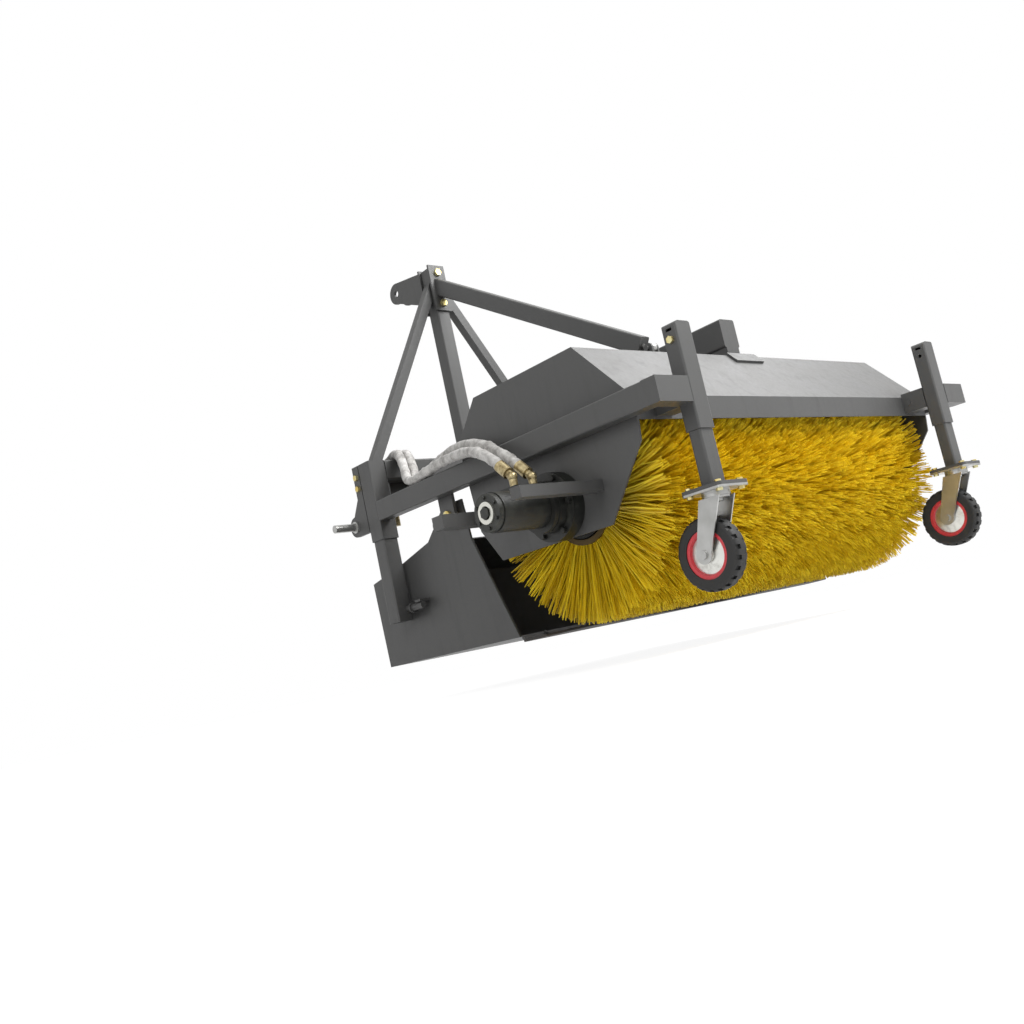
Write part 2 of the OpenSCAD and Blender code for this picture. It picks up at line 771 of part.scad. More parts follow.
// Hydraulic motor with its mounting flange and port block
module motor_body() {
    color("#2f3029") translate([0, brush_y, brush_z]) {
        along_x(flange_d, -side_x - housing_len - flange_t, -side_x - housing_len);
        along_x(motor_d, cap_len - motor_x, -side_x - housing_len);
        box([-port_x - port_block_w / 2, -port_block_d / 2, 0],
            [port_block_w / 2 - port_x, port_block_d / 2, port_block_h]);
    }
}
module motor_cap() {
    color("#26271f") translate([0, brush_y, brush_z]) along_x(cap_d, -motor_x, cap_len - motor_x);
    color("#d8d8d0") translate([0, brush_y, brush_z]) difference() {
        along_x(ring_d, -motor_x - ring_h, -motor_x);
        along_x(ring_in_d, -motor_x - 2 * ring_h, -motor_x);
    }
    color("#26271f") translate([0, brush_y, brush_z]) hex_x(motor_hex_d, -motor_x - 2 * ring_h, 2 * ring_h);
}
module motor_bolts() {
    flange_bolt_r = (housing_d + housing_neck_d) / 4;
    color("#b9a35a") translate([0, brush_y, brush_z]) {
        for (i = [0:cap_bolts - 1]) rotate([360 / cap_bolts * (i + 1 / 2), 0, 0])
            translate([0, cap_d / 2 * cap_bolt_share, 0])
                hex_x(cap_bolt_d / head_share, -motor_x - cap_bolt_h, cap_bolt_h);
        for (i = [0:cap_bolts - 1]) rotate([360 / cap_bolts * i, 0, 0]) translate([0, flange_bolt_r, 0]) {
            hex_x(flange_bolt_d / head_share, -side_x - housing_step - flange_bolt_h, flange_bolt_h);
            hex_x(flange_bolt_d / head_share, side_x + flange_t, flange_bolt_h);
        }
    }
}

// Bars that guard the motor at its front and rear, the front one with a ring
module guard_bars() {
    color("#505254") {
        box([-side_x - guard_reach, guard_front_y - guard_front_d / 2, guard_z - guard_front_h / 2],
            [-side_x, guard_front_y + guard_front_d / 2, guard_z + guard_front_h / 2]);
        box([-side_x - guard_reach, guard_rear_y - guard_rear_d / 2, guard_z - guard_rear_h / 2],
            [-side_x, guard_rear_y + guard_rear_d / 2, guard_z + guard_rear_h / 2]);
        ring_y = guard_front_y + guard_front_d / 2 + guard_ring_r;
        translate([guard_ring_in - side_x - guard_reach, ring_y, guard_z])
            rotate([0, 90, 0]) rotate_extrude() translate([guard_ring_r, 0]) circle(d = guard_wire);
    }
}

// Elbows and crimped ferrules between the motor's ports and the hoses
module fitting(start) {
    lean = [0, cos(ferrule_lean), sin(ferrule_lean)];
    knee = start - ferrule_len * lean;
    block_top = brush_z + port_block_h;
    translate([knee[0], knee[1], block_top]) cylinder(d = elbow_d, h = knee[2] - block_top);
    translate(knee) sphere(d = elbow_knee_d);
    translate(knee) rotate([ferrule_lean - 90, 0, 0]) cylinder(d = elbow_d, h = ferrule_len);
    translate(start - ferrule_len * ferrule_share * lean) rotate([ferrule_lean - 90, 0, 0])
        cylinder(d = ferrule_d, h = ferrule_len * ferrule_share);
}
module hose_fittings() { color("#c9b48a") for (route = [route_pressure, route_return]) fitting(route[0]); }

// Lower-link plates in front of the left sleeve and on the beam, mirrored about the mast
module link_plate() {
    across(-rail_x, link_t - rail_x) difference() {
        union() {
            polygon([[front_face_y, front_up], [front_face_y + link_strip, front_up],
                [front_face_y + link_strip, link_waist_z], [link_y, link_z + link_r],
                [link_y, link_z - link_r], [front_face_y, link_z - link_r]]);
            translate([link_y, link_z]) circle(r = link_r);
        }
        translate([link_y, link_z]) circle(d = lower_pin_d + 2 * fit);
        for (drop = [link_bolt_high, link_bolt_low])
            translate([front_face_y + link_strip / 2, front_up - drop]) circle(d = link_bolt_d + gap);
    }
}
module link_pin() {
    translate([0, link_y, link_z]) {
        along_x(lower_pin_d, -rail_x - link_collar_t - link_pin_reach, link_t + link_head_h - rail_x);
        along_x(link_head_d, -rail_x - link_collar_t, -rail_x);
        along_x(link_head_d, link_t - rail_x, link_t + link_head_h - rail_x);
    }
}
module about_mast() { children(); translate([2 * hitch_x, 0, 0]) mirror([1, 0, 0]) children(); }
module lower_link_plates() { color("#4a4c4f") about_mast() link_plate(); }
module lower_link_pins() { color("#c3c3bd") about_mast() link_pin(); }

// Yellow zinc bolts of the frame
module through_bolt_x(d, x0, x1) {
    along_x(d, x0, x1);
    hex_x(d, x0 - d * head_h_share, d * head_h_share);
    hex_x(d, x1, d * head_h_share);
}
module through_bolt_y(d, y0, y1) {
    along_y(d, y0, y1);
    hex_y(d, y0 - d * head_h_share, d * head_h_share);
    hex_y(d, y1, d * head_h_share);
}
module frame_bolts() {
    color("#b9a35a") {
        translate([-post_x, leg_y, lock_z]) through_bolt_x(lock_bolt_d, -post_w / 2, post_w / 2);
        for (drop = [clamp_bolt_high, clamp_bolt_low]) translate([hitch_x, 0, mast_top - drop])
            through_bolt_y(clamp_bolt_d, mast_rear_y - clamp_t, mast_front_y + clamp_t);
        about_mast() for (drop = [link_bolt_high, link_bolt_low])
            translate([0, front_face_y + link_strip / 2, front_up - drop])
                through_bolt_x(link_bolt_d, -rail_x, link_t - rail_x);
    }
}

// Bracket on the beam's front that parks the two couplers
function last(p) = p[len(p) - 1];
module coupler_bracket() {
    left = last(route_pressure);
    right = last(route_return);
    z = left[2] - bracket_drop;
    color("#4a4c4f") difference() {
        union() {
            box([left[0] - bracket_margin, front_face_y, z - bracket_t],
                [right[0] + bracket_margin, left[1] + bracket_margin, z]);
            box([left[0] - bracket_margin, front_face_y, z],
                [right[0] + bracket_margin, front_face_y + bracket_t, front_up - bracket_below]);
        }
        for (p = [left, right]) translate([p[0], p[1], z - 2 * bracket_t])
            cylinder(d = coupler_nose_d + gap, h = 4 * bracket_t);
    }
}
module couplers() {
    nose_len = coupler_len - bracket_drop;
    color("#b9a35a") for (p = [last(route_pressure), last(route_return)])
        translate([p[0], p[1], p[2] - bracket_drop]) {
            cylinder(d = coupler_d, h = bracket_drop);
            cylinder(d = coupler_collar_d, h = coupler_collar_h);
            translate([0, 0, -nose_len]) cylinder(d = coupler_nose_d, h = nose_len);
        }
}

// Sleeved hydraulic hoses, swept along their routes
module hose(route) {
    n = len(route);
    function heading(i) = unit(route[min(i + 1, n - 1)] - route[max(i - 1, 0)]);
    points = [for (i = [0:n - 1])
        let (t = heading(i))
        let (u = unit(cross(t, [1, 0, 0])))
        let (v = cross(t, u))
        for (k = [0:hose_sides - 1])
            route[i] + hose_d / 2 * (cos(360 * k / hose_sides) * u + sin(360 * k / hose_sides) * v)];
    walls = [for (i = [0:n - 2]) for (k = [0:hose_sides - 1])
        let (a = i * hose_sides + k)
        let (b = i * hose_sides + (k + 1) % hose_sides)
        each [[a, a + hose_sides, b], [b, a + hose_sides, b + hose_sides]]];
    start_cap = [for (k = [1:hose_sides - 2]) [0, k, k + 1]];
    end_cap = [for (k = [1:hose_sides - 2]) (n - 1) * hose_sides * [1, 1, 1] + [0, k + 1, k]];
    polyhedron(points, concat(walls, start_cap, end_cap));
}
module hose_pressure() { color("#d8d6d0") hose(route_pressure); }
module hose_return() { color("#cfcdc6") hose(route_return); }

// Core tube of the brush with its end discs and shaft
module brush_shaft() {
    tube_x = brush_len / 2 + core_over;
    color("#3a3b3c") translate([0, brush_y, brush_z]) {
        difference() {
            along_x(core_d, -tube_x, tube_x);
            along_x(core_d - 4 * tube_wall, -tube_x + core_end_t, tube_x - core_end_t);
        }
        along_x(shaft_d, flange_t + core_over - side_x - housing_len,
            side_x + idler_len - flange_t - core_over);
    }
}

// A bristled section: tapered tufts that stand on one slice of backing, row beside row
module brush_section(x0, flare_low, flare_high) {
    pitch = section_len / tuft_rings;
    step = 360 / tufts_per_ring;
    inner_r = (core_d / 2 + gap) / cos(step / 2);
    outer_r = core_d / 2 + backing_t;
    rows = tuft_rings + 1;
    whole_turns = floor(tuft_rings / 2);
    half_turn = tuft_rings / 2 - whole_turns;
    function at(x, r, a) = [x, brush_y + r * cos(a), brush_z + r * sin(a)];
    function flare(i) = i == 0 ? -flare_low : i == tuft_rings - 1 ? flare_high : 0;
    backing = [for (i = [0:tuft_rings]) for (k = [0:tufts_per_ring - 1])
        at(x0 + i * pitch, outer_r, (k + i / 2) * step)];
    bore_low = [for (k = [0:tufts_per_ring - 1]) at(x0, inner_r, k * step)];
    bore_high = [for (k = [0:tufts_per_ring - 1]) at(x0 + section_len, inner_r, (k + half_turn) * step)];
    tip_turn = tuft_tip / brush_d * 360 / PI;
    tips = [for (i = [0:tuft_rings - 1]) for (k = [0:tufts_per_ring - 1])
        let (x = x0 + (i + 1 / 2) * pitch + flare(i))
        let (a = (k + 1 / 2 + (i + 1 / 2) / 2) * step)
        each [at(x - tuft_tip / 2, brush_r, a - tip_turn), at(x - tuft_tip / 2, brush_r, a + tip_turn),
            at(x + tuft_tip / 2, brush_r, a + tip_turn), at(x + tuft_tip / 2, brush_r, a - tip_turn)]];
    low0 = rows * tufts_per_ring;
    high0 = low0 + tufts_per_ring;
    tip0 = high0 + tufts_per_ring;
    function quad(a, b, c, d) = [[a, b, c], [a, c, d]];
    tufts = [for (i = [0:tuft_rings - 1]) for (k = [0:tufts_per_ring - 1])
        let (next = (k + 1) % tufts_per_ring)
        let (base = [i * tufts_per_ring + k, i * tufts_per_ring + next,
            (i + 1) * tufts_per_ring + next, (i + 1) * tufts_per_ring + k])
        let (t = tip0 + 4 * (i * tufts_per_ring + k))
        each concat(quad(t, t + 1, t + 2, t + 3),
            [for (j = [0:3]) each quad(base[j], base[(j + 1) % 4], t + (j + 1) % 4, t + j)])];
    ends = [for (k = [0:tufts_per_ring - 1])
        let (next = (k + 1) % tufts_per_ring)
        let (edge = tuft_rings * tufts_per_ring)
        let (bore = high0 + (k + whole_turns) % tufts_per_ring)
        let (bore_next = high0 + (k + whole_turns + 1) % tufts_per_ring)
        each concat(quad(k, low0 + k, low0 + next, next),
            quad(low0 + k, high0 + k, high0 + next, low0 + next),
            quad(edge + k, edge + next, bore_next, bore))];
    polyhedron(concat(backing, bore_low, bore_high, tips), concat(tufts, ends));
}
module brush_section_left() { color("#be960f") brush_section(-brush_len / 2, tuft_flare, 0); }
module brush_section_middle() { color("#b58e10") brush_section(-section_len / 2, 0, 0); }
module brush_section_right() { color("#be960f") brush_section(brush_len / 2 - section_len, 0, tuft_flare); }

// Front legs that slide in the front sleeves, each with a peg that the bin rests on
module front_leg() {
    collar_y = front_y - stand_w / 2 - peg_collar_in;
    translate([front_x, front_y, 0]) {
        upright_tube(stand_w, stand_w, stand_low + cap_t, stand_in - front_down);
        upright_cap(stand_w, stand_w, stand_low);
    }
    translate([peg_x, 0, peg_z]) {
        along_y(peg_d, peg_end_y, front_y - stand_w / 2);
        along_y(peg_collar_d, collar_y, collar_y + peg_collar_t);
    }
}
module front_leg_left() { color("#505254") right_side(false) front_leg(); }
module front_leg_right() { color("#505254") right_side(true) front_leg(); }

// Folded tray of the bin, open towards the brush
module bin_tray() {
    tray = [[bin_rear_y, -bin_drop], [bin_front_y, -bin_drop], [bin_front_top_y, bin_front_top_z],
        [bin_mid_y, bin_mid_z], [bin_shoulder_y, bin_shoulder_z]];
    color("#4c4e50") across(-bin_in_x, bin_in_x) polygon(sheet_outline(tray, bin_sheet));
}

// Side plates of the bin with their pivot ears and stop tabs
module bin_sides() {
    tab_z = peg_z + peg_d / 2 + gap;
    color("#56585a") both() {
        across(bin_in_x, bin_side_x) difference() {
            union() {
                polygon([[bin_rear_y, -bin_drop], [bin_front_y, -bin_drop],
                    [bin_front_top_y, bin_front_top_z], [bin_mid_y, bin_mid_z],
                    [bin_shoulder_y, bin_shoulder_z], [bin_ear_front_y, bin_ear_z],
                    [bin_ear_rear_y, bin_ear_z], [bin_neck_y, bin_neck_z]]);
                translate([bin_pivot_y, bin_pivot_z]) circle(r = bin_ear_r);
            }
            translate([bin_pivot_y, bin_pivot_z]) circle(d = pivot_d + 2 * fit);
        }
        box([bin_side_x, peg_end_y, tab_z],
            [peg_x + peg_d / 2, peg_end_y + stop_tab_len, tab_z + stop_tab_t]);
    }
}

// Steel bar with bolts that clamps the rubber flap to the tray's rear edge
module flap_strip() {
    lower_z = strip_z - flap_t * cos(flap_tilt) - flap_t * sin(flap_tilt) * tan(flap_tilt);
    along = [-cos(flap_tilt), -sin(flap_tilt)];
    down = [sin(flap_tilt), -cos(flap_tilt)];
    root = [strip_y, strip_z];
    color("#3c3d3e") across(-bin_in_x, bin_in_x)
        polygon([root, [strip_y, lower_z], root + strip_len * along + flap_t * down,
            root + strip_len * along]);
    color("#b9a35a") for (i = [0:strip_bolt_count - 1])
        translate([bin_in_x * (2 * (i + 1 / 2) / strip_bolt_count - 1), strip_y, strip_z])
            rotate([flap_tilt, 0, 0]) translate([0, -strip_len / 2, 0])
                cylinder(d = strip_bolt_d, h = strip_bolt_h, $fn = 6);
}

// Rubber flap behind the tray's edge, bent back flat on the floor; it hangs at flap_tilt when lifted
module flap() {
    color("#2b2621") translate([-bin_side_x, flap_y, flap_z]) rotate([flap_rest, 0, 0]) {
        along_x(flap_t, 0, bin_w);
        box([0, -flap_len, -flap_t / 2], [bin_w, 0, flap_t / 2]);
    }
}

// Castor leg with its foot plate
module foot_holes(z0, z1) {
    for (x = [-1, 1]) for (y = [-1, 1])
        translate([x * (plate_w / 2 - plate_bolt_inset), leg_y + y * (plate_d / 2 - plate_bolt_inset), z0])
            cylinder(d = plate_bolt_d + gap, h = z1 - z0);
}
module foot_outline() {
    translate([0, leg_y]) for (x = [-1, 1]) for (y = [-1, 1]) {
        translate([x * (plate_w / 2 - plate_round), y * (plate_d / 2 - plate_round)])
            circle(r = plate_round);
        square([plate_w, plate_d - 2 * plate_round], center = true);
        square([plate_w - 2 * plate_round, plate_d], center = true);
    }
}
module castor_leg() {
    translate([post_x, 0, 0]) {
        translate([0, leg_y, 0]) upright_tube(leg_w, leg_d, plate_z, leg_top_z);
        difference() {
            translate([0, 0, plate_under_z]) linear_extrude(plate_t) foot_outline();
            foot_holes(plate_under_z - over, plate_z + over);
        }
    }
}
module castor_leg_left() { color("#505254") right_side(false) castor_leg(); }
module castor_leg_right() { color("#505254") right_side(true) castor_leg(); }

// Bolts that hold the castor under the foot plate
module plate_bolts() {
    head = plate_bolt_d * head_h_share;
    bolt_x = plate_w / 2 - plate_bolt_inset;
    bolt_y = plate_d / 2 - plate_bolt_inset;
    for (x = [-1, 1]) for (y = [-1, 1])
        translate([post_x + x * bolt_x, leg_y + y * bolt_y, 0]) {
            translate([0, 0, plate_under_z - swivel_t]) cylinder(d = plate_bolt_d, h = plate_t + swivel_t);
            hex_z(plate_bolt_d, plate_z, head);
            hex_z(plate_bolt_d, plate_under_z - swivel_t - head, head);
        }
}
module plate_bolts_left() { color("#b9a35a") right_side(false) plate_bolts(); }
module plate_bolts_right() { color("#b9a35a") right_side(true) plate_bolts(); }

// Castor top plate with its race and kingpin
module swivel_plate() {
    translate([post_x, 0, 0]) {
        difference() {
            translate([0, 0, plate_under_z - swivel_t]) linear_extrude(swivel_t) foot_outline();
            foot_holes(plate_under_z - swivel_t - over, plate_under_z + over);
        }
        translate([0, leg_y, race_z]) cylinder(d = race_d, h = race_h);
        translate([0, leg_y, race_z - crown_t - 2 * gap - kingpin_head_h]) {
            cylinder(d = kingpin_d, h = crown_t + 2 * gap + kingpin_head_h);
            cylinder(d = 2 * kingpin_d, h = kingpin_head_h);
        }
    }
}
module swivel_plate_left() { color("#c3c3bd") right_side(false) swivel_plate(); }
module swivel_plate_right() { color("#c3c3bd") right_side(true) swivel_plate(); }

// Pressed fork with its crown and two cheeks
module fork() {
    crown_z = race_z - gap;
    translate([post_x, 0, 0]) {
        difference() {
            translate([0, leg_y, crown_z - crown_t]) cylinder(r = cheek_x + cheek_t, h = crown_t);
            translate([0, leg_y, crown_z - crown_t - over])
                cylinder(d = kingpin_d + 2 * fit, h = crown_t + 2 * over);
        }
        for (x = [-cheek_x - cheek_t, cheek_x]) across(x, x + cheek_t) difference() {
            union() {
                polygon([[leg_y - cheek_top_half, crown_z], [leg_y + cheek_top_half, crown_z],
                    [wheel_y + cheek_foot_r, wheel_z], [wheel_y - cheek_foot_r, wheel_z]]);
                translate([wheel_y, wheel_z]) circle(r = cheek_foot_r);
            }
            translate([wheel_y, wheel_z]) circle(d = axle_d + 2 * fit);
        }
    }
}
module fork_left() { color("#c9c9c5") right_side(false) fork(); }
module fork_right() { color("#c9c9c5") right_side(true) fork(); }

// Axle bolt of the castor wheel
module axle() {
    out = cheek_x + cheek_t;
    translate([post_x, wheel_y, wheel_z]) {
        along_x(axle_d, -out - axle_head_h, out + axle_head_h);
        along_x(axle_head_d, -out - axle_head_h, -out);
        along_x(axle_head_d, out, out + axle_head_h);
    }
}
module axle_left() { color("#b9b9b4") right_side(false) axle(); }
module axle_right() { color("#b9b9b4") right_side(true) axle(); }

// Pressed steel rim with its hub, turned as one profile
module turned() { translate([post_x, wheel_y, wheel_z]) rotate([0, 90, 0]) rotate_extrude() children(); }
module rim() {
    half = wheel_w / 2;
    bore = axle_d / 2 + fit;
    edge = [[bore, hub_half], [hub_d / 2, hub_half], [hub_d / 2, half - rim_lip],
        [rim_ring_d / 2, half - 2 * rim_wall], [rim_ring_d / 2 + rim_lip, half - rim_lip],
        [rim_d / 2, half - rim_lip]];
    turned() polygon(concat(edge, [for (i = [len(edge) - 1:-1:0]) [edge[i][0], -edge[i][1]]]));
}
module rim_left() { color("#c8434a") right_side(false) rim(); }
module rim_right() { color("#c8434a") right_side(true) rim(); }

// Rubber tyre with staggered side lugs
module tyre() {
    half = wheel_w / 2;
    slot_w = PI * wheel_d / tread_lugs * tread_slot_share;
    slot_x = wheel_w * tread_side_share;
    shoulder_r = wheel_d / 2 - tyre_round;
    difference() {
        turned() union() {
            translate([rim_d / 2 + gap, -half])
                square([(wheel_d - rim_d) / 2 - tyre_round - gap, wheel_w]);
            translate([shoulder_r, half - tyre_round]) circle(r = tyre_round);
            translate([shoulder_r, tyre_round - half]) circle(r = tyre_round);
            translate([shoulder_r, tyre_round - half]) square([tyre_round, wheel_w - 2 * tyre_round]);
        }
        translate([post_x, wheel_y, wheel_z]) for (i = [0:tread_lugs - 1]) for (side = [0, 1])
            rotate([360 / tread_lugs * (i + side / 2), 0, 0])
                box([side == 0 ? -wheel_w : wheel_w / 2 - slot_x, -slot_w / 2, wheel_d / 2 - tread_depth],
                    [side == 0 ? slot_x - wheel_w / 2 : wheel_w, slot_w / 2, wheel_d]);
    }
}
module tyre_left() { color("#242424") right_side(false) tyre(); }
module tyre_right() { color("#242424") right_side(true) tyre(); }

placed() rail_left();
placed() rail_right();
placed() rear_brackets();
placed() castor_sleeve_left();
placed() castor_sleeve_right();
placed() front_sleeve_left();
placed() front_sleeve_right();
placed() front_beam();
placed() mast();
placed() headstock_leg_left();
placed() headstock_leg_right();
placed() apex_clamp();
placed() top_link_lugs();
placed() tie_bar();
placed() tie_eye();
placed() tie_anchor();
placed() top_beam();
placed() hood();
placed() hood_side_left();
placed() hood_side_right();
placed() bin_hangers();
placed() bin_pivot_pins();
placed() motor_bearing();
placed() idler_bearing();
placed() motor_body();
placed() motor_cap();
placed() motor_bolts();
placed() guard_bars();
placed() hose_fittings();
placed() lower_link_plates();
placed() lower_link_pins();
placed() frame_bolts();
placed() coupler_bracket();
placed() hose_pressure();
placed() hose_return();
placed() couplers();
placed() brush_shaft();
placed() brush_section_left();
placed() brush_section_middle();
placed() brush_section_right();
placed() front_leg_left();
placed() front_leg_right();
placed() bin_tray();
placed() bin_sides();
placed() flap_strip();
placed() flap();
placed() castor_leg_left();
placed() castor_leg_right();
placed() plate_bolts_left();
placed() plate_bolts_right();
placed() swivel_plate_left();
placed() swivel_plate_right();
placed() fork_left();
placed() fork_right();
placed() axle_left();
placed() axle_right();
placed() rim_left();
placed() rim_right();
placed() tyre_left();
placed() tyre_right();
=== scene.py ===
import math
import random

import bpy
import numpy as np
from mathutils import Matrix, Vector
from mathutils.geometry import interpolate_bezier


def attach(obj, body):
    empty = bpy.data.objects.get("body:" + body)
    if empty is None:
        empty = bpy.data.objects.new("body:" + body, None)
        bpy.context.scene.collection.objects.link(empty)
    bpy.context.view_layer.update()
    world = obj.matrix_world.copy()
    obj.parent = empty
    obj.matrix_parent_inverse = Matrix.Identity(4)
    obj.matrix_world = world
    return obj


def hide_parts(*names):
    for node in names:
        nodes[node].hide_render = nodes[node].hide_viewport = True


# The machine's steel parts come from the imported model, each riding on its own body. Places are given as
# on the machine's drawing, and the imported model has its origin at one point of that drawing.
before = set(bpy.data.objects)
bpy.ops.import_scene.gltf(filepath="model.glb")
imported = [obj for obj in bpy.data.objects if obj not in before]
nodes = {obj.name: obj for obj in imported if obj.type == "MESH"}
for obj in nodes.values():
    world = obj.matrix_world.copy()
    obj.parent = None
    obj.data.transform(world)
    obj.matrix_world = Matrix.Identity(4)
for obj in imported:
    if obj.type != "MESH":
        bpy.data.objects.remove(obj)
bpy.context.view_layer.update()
drawing_origin = (-128.5, 769.25, -583)


def at(x, y, z):
    """A place on the machine's drawing, in millimetres, as metres in the part's frame."""
    return Vector([(place - start) / 1000 for place, start in zip((x, y, z), drawing_origin)])


# The camera stands low and to the left behind the machine, rolled as it was held for the photograph. Its
# place, lens and directions were fitted to the machine's straight edges.
bpy.ops.object.select_all(action="DESELECT")
bpy.ops.object.camera_add()
camera = bpy.context.object
camera.data.lens = 36.71
camera.data.sensor_width = 36
camera_place = at(-2904.07, -1627.30, -616.19)
camera_right = Vector((0.74240, -0.63674, -0.20834))
camera_down = Vector((-0.06765, 0.23814, -0.96887))
camera_ahead = Vector((0.66653, 0.73339, 0.13372))
camera_turn = Matrix((camera_right, -camera_down, -camera_ahead)).transposed()
camera.matrix_world = Matrix.Translation(camera_place) @ camera_turn.to_4x4()
bpy.context.scene.camera = camera

# Frame tubes, plates, the hood and the bin are mild steel, welded and bolted together and sprayed in one
# satin dark grey. The paint has a fine grain, faint runs, small chips, and dust on what faces up.
painted = ["rail_left", "rail_right", "rear_brackets", "castor_sleeve_left", "castor_sleeve_right",
           "front_sleeve_left", "front_sleeve_right", "front_beam", "mast", "headstock_leg_left",
           "headstock_leg_right", "apex_clamp", "top_link_lugs", "tie_bar", "tie_anchor", "top_beam", "hood",
           "hood_side_left", "hood_side_right", "bin_hangers", "guard_bars", "lower_link_plates",
           "coupler_bracket", "front_leg_left", "front_leg_right", "bin_tray", "bin_sides", "flap_strip",
           "castor_leg_left", "castor_leg_right"]


class Wire:
    """A socket of a finish that can be used in sums."""

    def __init__(self, finish, socket):
        self.finish = finish
        self.socket = socket

    def __add__(self, other):
        return self.finish.sum("ADD", self, other)

    def __radd__(self, other):
        return self.finish.sum("ADD", other, self)

    def __sub__(self, other):
        return self.finish.sum("SUBTRACT", self, other)

    def __rsub__(self, other):
        return self.finish.sum("SUBTRACT", other, self)

    def __mul__(self, other):
        return self.finish.sum("MULTIPLY", self, other)

    def __rmul__(self, other):
        return self.finish.sum("MULTIPLY", other, self)

    def __pow__(self, other):
        return self.finish.sum("POWER", self, other)

    def __gt__(self, other):
        return self.finish.sum("GREATER_THAN", self, other)

    def __lt__(self, other):
        return self.finish.sum("LESS_THAN", self, other)


class Finish:
    """A procedural finish: a Principled shader and the nodes that feed it."""

    def __init__(self, name, **fixed):
        self.material = bpy.data.materials.new(name)
        self.material.use_nodes = True
        self.tree = self.material.node_tree
        self.tree.nodes.clear()
        self.shader = self.tree.nodes.new("ShaderNodeBsdfPrincipled")
        self.out = self.tree.nodes.new("ShaderNodeOutputMaterial")
        self.tree.links.new(self.shader.outputs[0], self.out.inputs[0])
        for socket, value in fixed.items():
            self.shader.inputs[socket.replace("_", " ")].default_value = value

    def plug(self, socket, value):
        if isinstance(value, Wire):
            self.tree.links.new(value.socket, socket)
        else:
            socket.default_value = value

    def node(self, kind, settings, sockets, out=0):
        made = self.tree.nodes.new("ShaderNode" + kind)
        for key, value in settings.items():
            if key == "stops":
                ramp = made.color_ramp.elements
                while len(ramp) < len(value):
                    ramp.new(0.5)
                for stop, (place, level) in zip(ramp, value):
                    stop.position = place
                    stop.color = (level, level, level, 1)
            else:
                setattr(made, key, value)
        for key, value in sockets.items():
            self.plug(made.inputs[key], value)
        return Wire(self, made.outputs[out])

    def sum(self, operation, a, b):
        return self.node("Math", {"operation": operation}, {0: a, 1: b})

    def place(self):
        return self.node("TexCoord", {}, {}, "Object")

    def part_of(self, vector, letter):
        return self.node("SeparateXYZ", {}, {0: vector}, letter)

    def stretched(self, scale):
        return self.node("VectorMath", {"operation": "MULTIPLY"}, {0: self.place(), 1: scale})

    def noise(self, scale, detail=4.0, rough=0.55, vector=None):
        sockets = {"Vector": vector or self.place(), "Scale": scale, "Detail": detail, "Roughness": rough}
        return self.node("TexNoise", {}, sockets, "Fac")

    def ramp(self, value, *stops):
        return self.node("ValToRGB", {"stops": stops}, {0: value})

    def mix(self, factor, a, b):
        return self.node("Mix", {"data_type": "RGBA"}, {0: factor, 6: a, 7: b}, 2)

    def facing_up(self):
        return self.part_of(self.node("NewGeometry", {}, {}, "Normal"), "Z")

    def coat(self, colour, rough, *bumps):
        self.plug(self.shader.inputs["Base Color"], colour)
        self.plug(self.shader.inputs["Roughness"], rough)
        normal = None
        for height, distance in bumps:
            sockets = {"Height": height, "Distance": distance, "Strength": 1.0}
            if normal is not None:
                sockets["Normal"] = normal
            normal = self.node("Bump", {}, sockets)
        if normal is not None:
            self.plug(self.shader.inputs["Normal"], normal)
        return self.material


def shade(code):
    """A screen colour such as 6b6c6d as the linear colour that a shader takes."""
    parts = [int(code[i:i + 2], 16) / 255 for i in (0, 2, 4)]
    return tuple(p / 12.92 if p <= 0.04045 else ((p + 0.055) / 1.055) ** 2.4 for p in parts) + (1.0,)


def dress(material, *names):
    for name in names:
        node = nodes[name]
        node.data.materials.clear()
        node.data.materials.append(material)


paint = Finish("frame_paint", Specular_IOR_Level=0.5)
paint_cloud = paint.noise(2.2, 5, 0.6)
paint_grain = paint.noise(90, 3, 0.6)
paint_up = paint.node("Clamp", {}, {0: paint.facing_up() * 1.3 - 0.25})
paint_dust = paint.ramp(paint.noise(9, 7, 0.68), (0.35, 0), (0.75, 1)) * paint_up
paint_runs = paint.ramp(paint.noise(6, 4, 0.6, paint.stretched((5, 5, 0.7))), (0.52, 0), (0.78, 1))
paint_chips = paint.ramp(paint.noise(130, 4, 0.7), (0.70, 0), (0.72, 1))
paint_colour = paint.mix(paint_cloud, shade("404040"), shade("4b4b4a"))
paint_colour = paint.mix(paint_runs * 0.22, paint_colour, shade("353534"))
paint_colour = paint.mix(paint_dust * 0.25, paint_colour, shade("6b6963"))
paint_colour = paint.mix(paint_chips * 0.6, paint_colour, shade("2b2723"))
paint_rough = 0.36 + paint_grain * 0.14 + paint_dust * 0.2 + paint_runs * 0.1
paint_look = paint.coat(paint_colour, paint_rough, (paint.noise(420, 2, 0.5), 0.0002), (paint_chips, -0.0002))
dress(paint_look, *painted)

# Bolts, nuts and the bin's pivot pins are forged or turned steel, screwed or pushed in. They are plated
# in yellow zinc, which turns from straw to pale green.
straw = Finish("yellow_zinc", Metallic=0.85)
straw_tint = straw.ramp(straw.noise(38, 3, 0.5), (0.38, 0), (0.62, 1))
straw_colour = straw.mix(straw_tint, shade("cdb56a"), shade("d9d2a2"))
straw_look = straw.coat(straw_colour, 0.3 + straw.noise(240, 3) * 0.2, (straw.noise(500, 2), 0.0001))
dress(straw_look, "bin_pivot_pins", "frame_bolts", "plate_bolts_left", "plate_bolts_right")

